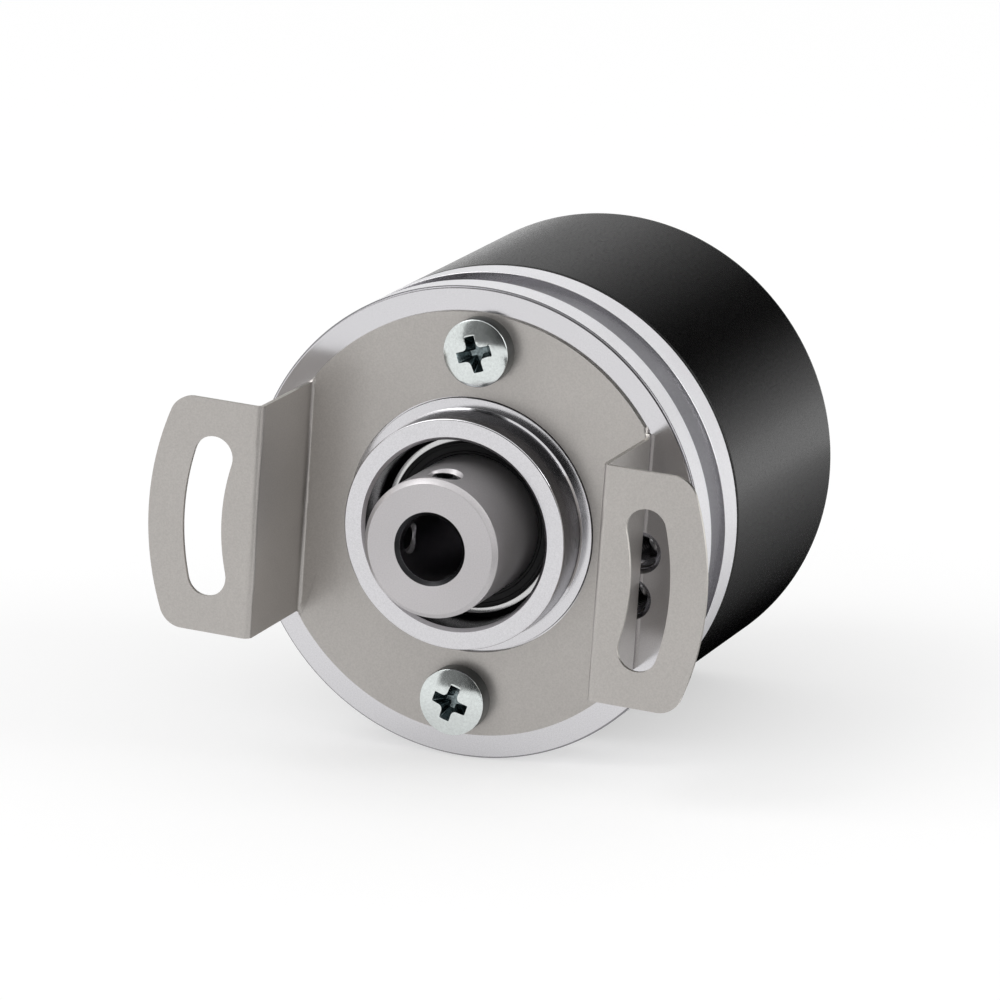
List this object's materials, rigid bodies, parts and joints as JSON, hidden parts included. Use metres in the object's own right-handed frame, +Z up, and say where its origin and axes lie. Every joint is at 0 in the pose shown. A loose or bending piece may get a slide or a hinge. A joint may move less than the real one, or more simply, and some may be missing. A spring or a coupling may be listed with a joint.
{
  "type": "incremental rotary encoder",
  "caption": "Round rotary encoder with a hollow shaft in a bearing collar, a bent spring coupling with slotted tabs, a grooved flange and a rear connector.",
  "frame": {"origin": "on the shaft axis, in the plane of the flange's front face", "axes": "+Y along the shaft axis towards the back of the housing, +X across the two coupling tabs, +Z up through the upper coupling screw"},
  "size_m": [0.0708, 0.0765, 0.058],
  "materials": {
    "flange_aluminium": "fine turned, satin",
    "coupling_steel": "rolled spring sheet, satin",
    "zinc_screw": "bright zinc plated",
    "shaft_steel": "ground, satin",
    "bearing_steel": "ground and polished",
    "seal_rubber": "matte",
    "housing_black": "black, finely textured",
    "black_screw": "black oxide",
    "disc_glass": "clear",
    "lens_glass": "clear",
    "black_plastic": "moulded",
    "board_green": "solder resist",
    "nickel_brass": "nickel plated",
    "gold_contact": "gold plated"
  },
  "bodies": {
    "stator": {"flange": "flange_aluminium", "stator_coupling": "coupling_steel", "coupling_screws": "zinc_screw", "housing": "housing_black", "housing_gasket": "seal_rubber", "housing_screws": "black_screw", "front_bearing_outer_ring": "bearing_steel", "front_bearing_seal": "seal_rubber", "rear_bearing_outer_ring": "bearing_steel", "rear_bearing_seal": "seal_rubber", "preload_spring": "coupling_steel", "reticle": "disc_glass", "collimator_lens": "lens_glass", "led": "lens_glass", "led_holder": "black_plastic", "sensor_array": "black_plastic", "scanning_board": "board_green", "output_board": "board_green", "board_header": "black_plastic", "board_chips": "black_plastic", "capacitors": "flange_aluminium", "front_spacers": "nickel_brass", "middle_spacers": "nickel_brass", "rear_spacers": "nickel_brass", "connector_shell": "nickel_brass", "connector_nut": "nickel_brass", "connector_insert": "black_plastic", "connector_pins": "gold_contact"},
    "rotor": {"hollow_shaft": "shaft_steel", "front_bearing_inner_ring": "bearing_steel", "rear_bearing_inner_ring": "bearing_steel", "inner_spacer": "shaft_steel", "disc_hub": "flange_aluminium", "code_disc": "disc_glass"},
    "top_clamp_screw": {"top_set_screw": "black_screw"},
    "side_clamp_screw": {"side_set_screw": "black_screw"},
    "front_balls": {"front_bearing_ball_train": "bearing_steel"},
    "rear_balls": {"rear_bearing_ball_train": "bearing_steel"}
  },
  "joints": [
    {"name": "shaft_spin", "type": "hinge", "parent": "stator", "child": "rotor", "pos_m": [0, 0, 0], "axis": [0, -1, 0], "continuous": true},
    {"name": "top_screw_travel", "type": "slide", "parent": "rotor", "child": "top_clamp_screw", "axis": [0, 0, -1], "range_m": [-0.002, 0.0015]},
    {"name": "side_screw_travel", "type": "slide", "parent": "rotor", "child": "side_clamp_screw", "axis": [1, 0, 0], "range_m": [-0.002, 0.0015]},
    {"name": "front_balls_orbit", "type": "hinge", "parent": "stator", "child": "front_balls", "pos_m": [0, 0.0017, 0], "axis": [0, -1, 0], "continuous": true},
    {"name": "rear_balls_orbit", "type": "hinge", "parent": "stator", "child": "rear_balls", "pos_m": [0, 0.0147, 0], "axis": [0, -1, 0], "continuous": true}
  ],
  "couplings": [
    {"joint": "front_balls_orbit", "follows": "shaft_spin", "ratio": 0.45707},
    {"joint": "rear_balls_orbit", "follows": "shaft_spin", "ratio": 0.45707}
  ]
}
